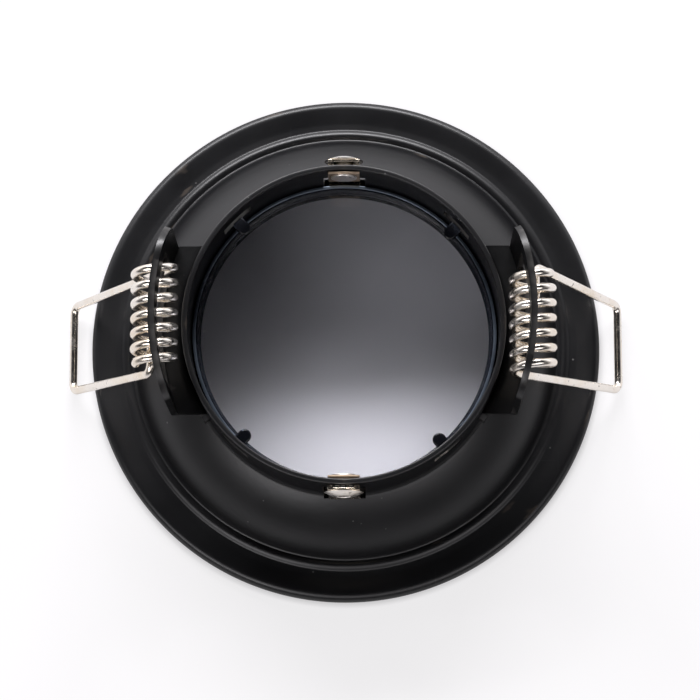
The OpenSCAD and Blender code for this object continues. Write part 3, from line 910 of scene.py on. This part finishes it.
def leaf_strip():
    """The leaf: its path thickened, across its width."""
    outline = sheet_outline(leaf_path(), LEAF_T, LEAF_EDGE)
    count, points, faces = len(outline), [], []
    rows = [-LEAF_W / 2, -LEAF_W / 2 + LEAF_EDGE, LEAF_W / 2 - LEAF_EDGE, LEAF_W / 2]
    for y in rows:
        points += [(x, y, z) for x, z in outline]
    for row in range(len(rows) - 1):
        a, b = row * count, (row + 1) * count
        faces += [(a + i, b + i, b + (i + 1) % count, a + (i + 1) % count) for i in range(count)]
    end = (len(rows) - 1) * count
    faces += [tuple(range(count)), tuple(range(end, end + count))]
    return points, faces


def leaf_rib(side):
    """One of the two pressed ribs that stand the plate off the collar."""
    low = (COLLAR_R + TOUCH_GAP, side * RIB_PITCH / 2 - RIB_W / 2, WINDOW_TOP_Z)
    high = (LEAF_PLATE_R, side * RIB_PITCH / 2 + RIB_W / 2, LEAF_TOP_Z)
    return block(low, high)


def make_catch(name, degrees, cad_node):
    """A leaf with its two ribs; what lies inside the collar gets a darker, browner copy of the plate: painted
    shade.
    """
    points, faces = spun(joined(leaf_strip(), leaf_rib(-1), leaf_rib(1)), degrees)
    leaf = piece_from(name, points, faces, [LEAF_PLATE, SHADED_LEAF_PLATE], "trim", [cad_node])
    bevelled(leaf, LEAF_EDGE, segments=2, angle=50)
    # Faces inside the collar take the darker plate copy: painted shade.
    for face in leaf.data.polygons:
        face.material_index = int(abs(face.center.y) < COLLAR_IN_R * MM)
    return leaf


def rivet_outline():
    """Half section of a blind rivet from its upset end to its dome, open at the mandrel's hole."""
    dome_r = ((RIVET_HEAD_D / 2) ** 2 + RIVET_HEAD_H ** 2) / (2 * RIVET_HEAD_H)
    foot, core, lip = RIVET_SEAT_R, RIVET_CORE_D / 2, RIVET_LIP
    dome_z = foot + RIVET_HEAD_H - dome_r
    tail, soft = RIVET_TAIL_R - RIVET_TAIL_L, RIVET_TAIL_SOFT
    outline = [(0, tail), (RIVET_TAIL_D / 2 - soft, tail)]
    outline += [(RIVET_TAIL_D / 2 - soft + soft * math.sin(a), tail + soft - soft * math.cos(a))
                for a in steps(0, math.pi / 2, ARC_STEPS)]
    outline += [(RIVET_TAIL_D / 2, RIVET_TAIL_R), (RIVET_D / 2, RIVET_TAIL_R), (RIVET_D / 2, foot)]
    edge = math.asin((RIVET_HEAD_D / 2 - RIVET_RIM_W / 2) / dome_r)
    hole = math.asin((core + lip) / dome_r)
    outline += [(RIVET_HEAD_D / 2 - RIVET_RIM_W, foot), (RIVET_HEAD_D / 2, foot + RIVET_RIM_H)]
    outline += [(dome_r * math.sin(a), dome_z + dome_r * math.cos(a))
                for a in steps(edge, hole, DOME_STEPS)]
    rim_z = dome_z + dome_r * math.cos(hole)
    outline += [(core + lip - lip * math.sin(a), rim_z - lip + lip * math.cos(a))
                for a in steps(0, math.pi / 2, BEND_STEPS)]
    outline += [(core * share, foot + height) for share, height in TORN_END]
    return outline


def make_rivets():
    """Both blind rivets, each with the mandrel's torn end deep in its head."""
    points, faces = turned_solid(rivet_outline(), RIVET_STEPS)
    one = placed(points, to_rivet(0)), faces
    points, faces = joined(spun(one, 90), spun(one, 270))
    rivets = piece_from("catch_rivet_pair", points, faces, [RIVET_PLATE, MANDREL_END_SHADE], "trim",
                        ["catch_rivets"])
    deep = (RIVET_SEAT_R + TORN_END_TOP) * MM
    # The mandrel's end takes the near-black steel: painted shade in the hole.
    for face in rivets.data.polygons:
        centre = face.center
        off_axis = math.hypot(centre.x, centre.z - RIVET_Z * MM)
        if off_axis < RIVET_CORE_D / 2 * MM and COLLAR_R * MM < abs(centre.y) < deep:
            face.material_index = 1
    return rivets


# ---- brackets


def ear_top(y):
    """Height of the ear's upper edge, with its round corners."""
    past = abs(y) - (EAR_HALF - EAR_CORNER_R)
    if past <= 0:
        return EAR_TOP_Z
    return EAR_TOP_Z - EAR_CORNER_R + math.sqrt(max(EAR_CORNER_R ** 2 - past ** 2, 0))


def bracket_columns():
    """Places along Y, as shares of the ear's half length."""
    breaks = [-EAR_HALF, -EAR_WINDOW_HALF, TONGUE_L - EAR_WINDOW_HALF, EAR_WINDOW_HALF, EAR_HALF]
    columns = []
    for a, b in zip(breaks, breaks[1:]):
        columns += steps(a, b, max(2, round((b - a) / BRACKET_CELL)))[:-1]
    columns.append(EAR_HALF)
    corner = EAR_HALF - EAR_CORNER_R
    columns += [side * (corner + EAR_CORNER_R * math.sin(a)) for side in (-1, 1)
                for a in EAR_CORNER_ANGLES]
    return [y / EAR_HALF for y in sorted(columns)]


def bracket_rows():
    """The bent sheet's rows: a kind, and a place within that kind."""
    rows = [("leg", SHELF_Z - LEG_H), ("leg", SHELF_Z - LEG_H / 2)]
    rows += [("leg_bend", a) for a in steps(0, math.pi / 2, BEND_STEPS)]
    rows += [("shelf", share) for share in steps(0, 1, SHEET_STEPS)[1:-1]]
    rows += [("ear_bend", a) for a in steps(0, math.pi / 2, BEND_STEPS)]
    tongue = (COIL_Z - TONGUE_W / 2, COIL_Z + TONGUE_W / 2)
    rows += [("ear", z) for z in (EAR_WINDOW_SILL, *tongue, EAR_WINDOW_HEAD)]
    rows += [("bar", share) for share in steps(0, 1, SHEET_STEPS)[1:]]
    return rows


def bracket_point(share, row, side):
    """A point on the bracket's sheet, half its thickness to the given side."""
    kind, place = row
    bend = BRACKET_T / 2 + BRACKET_BEND_R
    half = BRACKET_T / 2 * side
    y = share * (LEG_HALF if kind == "leg" else EAR_HALF)
    lean_leg, lean_ear = math.asin(y / LEG_MID_R), math.asin(y / EAR_BOW_R)
    leg_x, ear_x = LEG_MID_R * math.cos(lean_leg), EAR_X - EAR_BOW_R + EAR_BOW_R * math.cos(lean_ear)
    if kind == "leg":
        return leg_x - half * math.cos(lean_leg), y - half * math.sin(lean_leg), place
    if kind == "leg_bend":
        r, a = bend + half, place
        sideways = half * (1 - math.sin(a)) * math.sin(lean_leg)
        return leg_x + bend - r * math.cos(a), y - sideways, SHELF_MID_Z - bend + r * math.sin(a)
    if kind == "shelf":
        return leg_x + bend + place * (ear_x - leg_x - 2 * bend), y, SHELF_MID_Z + half
    if kind == "ear_bend":
        r, a = bend - half, place
        sideways = half * math.sin(a) * math.sin(lean_ear)
        return ear_x - bend + r * math.sin(a), y - sideways, SHELF_MID_Z + bend - r * math.cos(a)
    x = ear_x - half * math.cos(lean_ear)
    z = place if kind == "ear" else EAR_WINDOW_HEAD + place * (ear_top(y) - EAR_WINDOW_HEAD)
    return x, y - half * math.sin(lean_ear), z


def bracket_cell_open(y, row_low, row_high):
    """Whether this patch of the ear lies in its window, tongue left out."""
    if row_low[0] != "ear" or row_high[0] != "ear" or abs(y) > EAR_WINDOW_HALF:
        return False
    middle = (row_low[1] + row_high[1]) / 2
    on_tongue = abs(middle - COIL_Z) < TONGUE_W / 2 and y < TONGUE_L - EAR_WINDOW_HALF
    return not on_tongue


def bracket_cells(columns, rows):
    """Which patches of the sheet are there, by row and column."""
    cells = {}
    for j, (low, high) in enumerate(zip(rows, rows[1:])):
        for i, (left, right) in enumerate(zip(columns, columns[1:])):
            cells[j, i] = not bracket_cell_open((left + right) / 2 * EAR_HALF, low, high)
    return cells


def bracket_faces(columns, rows):
    """Faces of the sheet's two sides, and along every edge round it and its window."""
    def corner(side, row, column):
        return (side * len(rows) + row) * len(columns) + column

    cells, faces = bracket_cells(columns, rows), []
    for (j, i), there in cells.items():
        if not there:
            continue
        for side in (0, 1):
            faces.append((corner(side, j, i), corner(side, j, i + 1),
                          corner(side, j + 1, i + 1), corner(side, j + 1, i)))
        edges = {(j - 1, i): ((j, i), (j, i + 1)), (j + 1, i): ((j + 1, i), (j + 1, i + 1)),
                 (j, i - 1): ((j, i), (j + 1, i)), (j, i + 1): ((j, i + 1), (j + 1, i + 1))}
        for neighbour, (a, b) in edges.items():
            if not cells.get(neighbour, False):
                faces.append((corner(0, *a), corner(0, *b), corner(1, *b), corner(1, *a)))
    return faces


def make_bracket(name, degrees, cad_node):
    """A spring bracket: leg, shelf and ear in one bent sheet."""
    columns, rows = bracket_columns(), bracket_rows()
    points = [bracket_point(share, row, side) for side in (-1, 1) for row in rows for share in columns]
    points, faces = spun((points, bracket_faces(columns, rows)), degrees)
    bracket = piece_from(name, points, faces, [BRACKET_BLACK], "trim", [cad_node])
    bevelled(bracket, BRACKET_EDGE)
    return bracket


# ---- wire springs


def round_corner(a, b, c, r, count):
    """Points of the arc that rounds the corner b between a and c."""
    u, v = (a - b).normalized(), (c - b).normalized()
    half = u.angle(v) / 2
    back = r / math.tan(half)
    centre = b + (u + v).normalized() * r / math.sin(half)
    start, stop = b + u * back - centre, b + v * back - centre
    sweep = math.pi - 2 * half
    return [centre + (start * math.sin(sweep - t) + stop * math.sin(t)) / math.sin(sweep)
            for t in steps(0, sweep, count)]


def spring_point(radius, angle, y):
    """A point at a radius and an angle about the coil's axis."""
    return Vector((COIL_X + radius * math.cos(angle), y, COIL_Z + radius * math.sin(angle)))


def coil_point(leave, turn):
    """The coil's middle, that many turns on from the angle at which the arm joins it."""
    return spring_point(COIL_R, leave - FULL_TURN * turn, -HOOK_Y + COIL_PITCH * turn)


def wire_path():
    """Middle of the right-hand spring's wire: tail, hook, arm, crossbar, arm and coil."""
    out_x, out_z = CROSSBAR_X - COIL_X, CROSSBAR_Z - COIL_Z
    reach, heading = math.hypot(out_x, out_z), math.atan2(out_z, out_x)
    leave = heading + math.asin(COIL_R / reach) - math.pi / 2
    tail, corner = (spring_point(TAIL_OFFSET, heading, y) for y in (HOOK_Y - TAIL_L, HOOK_Y))
    far, near = (Vector((CROSSBAR_X, y, CROSSBAR_Z)) for y in (CROSSBAR_Y, -CROSSBAR_Y))
    path, way_points = [tail], [tail, corner, far, near, coil_point(leave, 0)]
    for a, b, c in zip(way_points, way_points[1:], way_points[2:]):
        path += round_corner(a, b, c, BEND_R, CORNER_STEPS)
    path += [coil_point(leave, i / COIL_STEPS) for i in range(round(COIL_TURNS * COIL_STEPS) + 1)]
    end = path[-1]
    path.append(end + WIRE_D * (coil_point(leave, COIL_TURNS + COIL_OVERRUN) - end).normalized())
    return path


def filled_in(path, longest):
    """The path with its long straight stretches divided."""
    finer = [path[0]]
    for a, b in zip(path, path[1:]):
        count = max(1, math.ceil((b - a).length / longest))
        finer += [a.lerp(b, (k + 1) / count) for k in range(count)]
    return finer


def swept_wire(path, radius):
    """A round tube along a path that twists as little as possible, its ends cut with a small chamfer."""
    ways = [(path[min(i + 1, len(path) - 1)] - path[max(i - 1, 0)]).normalized() for i in range(len(path))]
    normal = Vector((0, 0, 1))
    rings = []
    for point, heading in zip(path, ways):
        normal = (normal - normal.dot(heading) * heading).normalized()
        rings.append((point, heading, normal.copy()))
    first, last, chamfer = rings[0], rings[-1], WIRE_CHAMFER
    sections = [(first[0], radius - chamfer, first), (first[0] + first[1] * chamfer, radius, first)]
    sections += [(ring[0], radius, ring) for ring in rings[1:-1]]
    sections += [(last[0] - last[1] * chamfer, radius, last), (last[0], radius - chamfer, last)]
    points = []
    for centre, r, (_, heading, up) in sections:
        side = heading.cross(up)
        for k in range(WIRE_SIDES):
            a = FULL_TURN * k / WIRE_SIDES
            points.append(tuple(centre + r * (math.cos(a) * up + math.sin(a) * side)))
    faces = []
    for i in range(len(sections) - 1):
        for k in range(WIRE_SIDES):
            p, q = i * WIRE_SIDES + k, i * WIRE_SIDES + (k + 1) % WIRE_SIDES
            faces.append((p, q, q + WIRE_SIDES, p + WIRE_SIDES))
    end = (len(sections) - 1) * WIRE_SIDES
    faces += [tuple(range(WIRE_SIDES)), tuple(range(end, end + WIRE_SIDES))]
    return points, faces


def make_spring(name, degrees, body):
    """A spring, turned to its side of the trim."""
    wire = swept_wire(filled_in(wire_path(), WIRE_STRIDE), WIRE_D / 2 - WIRE_SKIN)
    points, faces = spun(wire, degrees)
    return piece_from(name, points, faces, [WIRE_PLATE], body, [body])


# ---- table, light and camera

WALLS_IN_FRONT = (0.07, 0.067, 0.065)
BACKDROP = (1.6, 1.58, 1.63)
SCREEN_IN_FRONT = (1.4, 1.36, 1.4)
SCREEN_ASIDE = (3.4, 3.3, 3.4)
CEILING_MIRRORED = (0.008, 0.008, 0.0095)
SOFT_AROUND = (0.15, 0.147, 0.158)
SOFT_OVERHEAD = (0.02, 0.02, 0.023)
# Bounds between which the mirrored room's parts fade in or out, as parts of a direction.
OVERHEAD_Z = (0.1, 0.62)
BEHIND_Y = (-0.35, 0.6)
SCREEN_LOW_Z = (0.5, 0.66)
SCREEN_HIGH_Z = (0.8, 0.92)
SCREEN_Y = (-0.45, -0.25)
SCREEN_X = (0.15, 0.45)
KEY_LAMP = {"azimuth": 97, "elevation": 36.3, "away": 1.0, "size": (0.9, 0.13), "power": 15.0,
            "colour": (0.98, 0.97, 1.0)}
FILL_LAMP = {"azimuth": 238, "elevation": 38, "away": 1.3, "size": (0.7, 0.22), "power": 2.2,
             "colour": (0.98, 0.975, 1.0)}
TABLE_DROP = 0.0001
TABLE_SIZE = 4.0
TABLE_SHADE = (0.8, 0.79, 0.81)
TABLE_FAR = (0.25, 0.245, 0.25)
TABLE_FAR_GLOW = 0.8
TABLE_NEAR_R = 0.0405
TABLE_FAR_R = 0.0435
TABLE_END_Y = -0.1
TABLE_END_FADE = 0.04
TABLE_DIM_R = 0.12
TABLE_WHITE_R = 0.5
TABLE_MIRRORED = 0.6
CAMERA_TILT = math.radians(10.24)
CAMERA_TURN = math.radians(4.2)
CAMERA_AWAY = 0.48
CAMERA_LENS = 146.8
CAMERA_SENSOR = 36
CAMERA_NEAR = 0.01
IMAGE_W = 700
SHIFT_X = 4.3 / IMAGE_W
SHIFT_Y = 0.2 / IMAGE_W


def table_material():
    """Pale table, nearly white in the open and shaded under the glass. From below it is not there."""
    material, tree, shader, place = blank_material(
        "pale_table", Roughness=0.9, Specular_IOR_Level=0.0, Emission_Color=(1.0, 0.99, 1.0, 1))
    rays = add(tree, "LightPath").outputs
    seen = maths(tree, "MAXIMUM", rays["Is Camera Ray"],
                 maths(tree, "MAXIMUM", rays["Is Glossy Ray"], rays["Is Transmission Ray"]))
    off_axis = add(tree, "VectorMath", operation="LENGTH")
    wire_up(tree, place, off_axis.inputs[0])
    open_table = spread(tree, off_axis.outputs["Value"], TABLE_NEAR_R, TABLE_FAR_R)
    across = add(tree, "SeparateXYZ")
    wire_up(tree, place, across.inputs[0])
    table_end = spread(tree, across.outputs["Y"], TABLE_END_Y, TABLE_END_Y + TABLE_END_FADE,
                       0.0, TABLE_MIRRORED)
    mirrored_end = maths(tree, "MAXIMUM", table_end, maths(tree, "SUBTRACT", 1.0, rays["Is Glossy Ray"]))
    bright = product(tree, product(tree, seen, open_table), mirrored_end)
    wire_up(tree, tint(tree, bright, TABLE_SHADE, TABLE_FAR), shader.inputs["Base Color"])
    glow = spread(tree, off_axis.outputs["Value"], TABLE_DIM_R, TABLE_WHITE_R, TABLE_FAR_GLOW, 1.0)
    wire_up(tree, product(tree, bright, glow), shader.inputs["Emission Strength"])
    partly_clear(tree, shader, add(tree, "NewGeometry").outputs["Backfacing"], (1.0, 1.0, 1.0))
    return material


def make_table():
    """The table the trim lies on, in metres."""
    half = TABLE_SIZE / 2
    corners = [(x, y, -TABLE_DROP) for x, y in ((-half, -half), (half, -half), (half, half), (-half, half))]
    mesh = bpy.data.meshes.new("table")
    mesh.from_pydata(corners, [], [(0, 1, 2, 3)])
    mesh.materials.append(table_material())
    shown("table", mesh)


def soft_lamp(name, azimuth, elevation, away, size, power, colour):
    """A rectangular soft lamp that looks at the object."""
    data = bpy.data.lights.new(name, "AREA")
    data.shape = "RECTANGLE"
    data.size, data.size_y = size
    data.energy = power
    data.color = colour
    a, e = math.radians(azimuth), math.radians(elevation)
    toward = Vector((math.cos(a) * math.cos(e), math.sin(a) * math.cos(e), math.sin(e)))
    lamp = shown(name, data)
    lamp.location = toward * away
    lamp.rotation_mode = "QUATERNION"
    lamp.rotation_quaternion = toward.to_track_quat("Z", "Y")


def mirrored_room(tree, heading, overhead):
    """What pieces mirror: a backdrop behind, dim walls, a dark ceiling, and screens in front and aside."""
    walls = tint(tree, spread(tree, heading["Y"], *BEHIND_Y), WALLS_IN_FRONT, BACKDROP)
    room = tint(tree, overhead, walls, CEILING_MIRRORED)
    above = product(tree, spread(tree, heading["Z"], *SCREEN_LOW_Z),
                    spread(tree, heading["Z"], *SCREEN_HIGH_Z, 1.0, 0.0))
    screen = product(tree, above, spread(tree, heading["Y"], *SCREEN_Y, 1.0, 0.0))
    aside = spread(tree, maths(tree, "ABSOLUTE", heading["X"]), *SCREEN_X)
    return tint(tree, screen, room, tint(tree, aside, SCREEN_IN_FRONT, SCREEN_ASIDE))


def make_room():
    """The room: soft dim light all round, white where the camera sees past the table, or mirrored."""
    world = bpy.data.worlds.new("room")
    bpy.context.scene.world = world
    world.use_nodes = True
    tree = world.node_tree
    back = tree.nodes["Background"]
    parts = add(tree, "SeparateXYZ")
    wire_up(tree, add(tree, "TexCoord").outputs["Generated"], parts.inputs[0])
    overhead = spread(tree, parts.outputs["Z"], *OVERHEAD_Z)
    soft = tint(tree, overhead, SOFT_AROUND, SOFT_OVERHEAD)
    rays = add(tree, "LightPath").outputs
    glimpsed = maths(tree, "MAXIMUM", rays["Is Glossy Ray"], rays["Is Transmission Ray"])
    after_matt = spread(tree, rays["Diffuse Depth"], 0.0, 1.0, 1.0, 0.0)
    mirrored = mirrored_room(tree, parts.outputs, overhead)
    lit = tint(tree, product(tree, glimpsed, after_matt), soft, mirrored)
    wire_up(tree, tint(tree, rays["Is Camera Ray"], lit, (1.0, 1.0, 1.0)), back.inputs["Color"])
    back.inputs["Strength"].default_value = 1.0


def make_camera():
    """The photo's camera: above the trim, a little towards its lower end."""
    data = bpy.data.cameras.new("camera")
    data.sensor_width = CAMERA_SENSOR
    data.lens = CAMERA_LENS
    data.shift_x, data.shift_y = SHIFT_X, SHIFT_Y
    data.clip_start = CAMERA_NEAR
    camera = shown("camera", data)
    away = Vector((math.sin(CAMERA_TILT) * math.sin(CAMERA_TURN),
                   -math.sin(CAMERA_TILT) * math.cos(CAMERA_TURN), math.cos(CAMERA_TILT)))
    right = (-away).cross(Vector((0, 1, 0))).normalized()
    up = right.cross(-away)
    turn = Matrix((right, up, away)).transposed().to_4x4()
    camera.matrix_world = Matrix.Translation(away * CAMERA_AWAY) @ turn
    bpy.context.scene.camera = camera


# ---- the downlight

make_trim_shell()
make_lamp_stops()
make_lock_ring()
make_glass_pane()
make_gasket()
make_catch("catch_leaf_top", 90, "catch_top")
make_catch("catch_leaf_bottom", 270, "catch_bottom")
make_rivets()
make_bracket("bracket_right_sheet", 0, "bracket_right")
make_bracket("bracket_left_sheet", 180, "bracket_left")
make_spring("spring_right_wire", 0, "spring_right")
make_spring("spring_left_wire", 180, "spring_left")

make_table()
soft_lamp("key", **KEY_LAMP)
soft_lamp("fill", **FILL_LAMP)
make_room()
make_camera()

bpy.context.scene.view_settings.view_transform = "Standard"

bpy.context.view_layer.update()
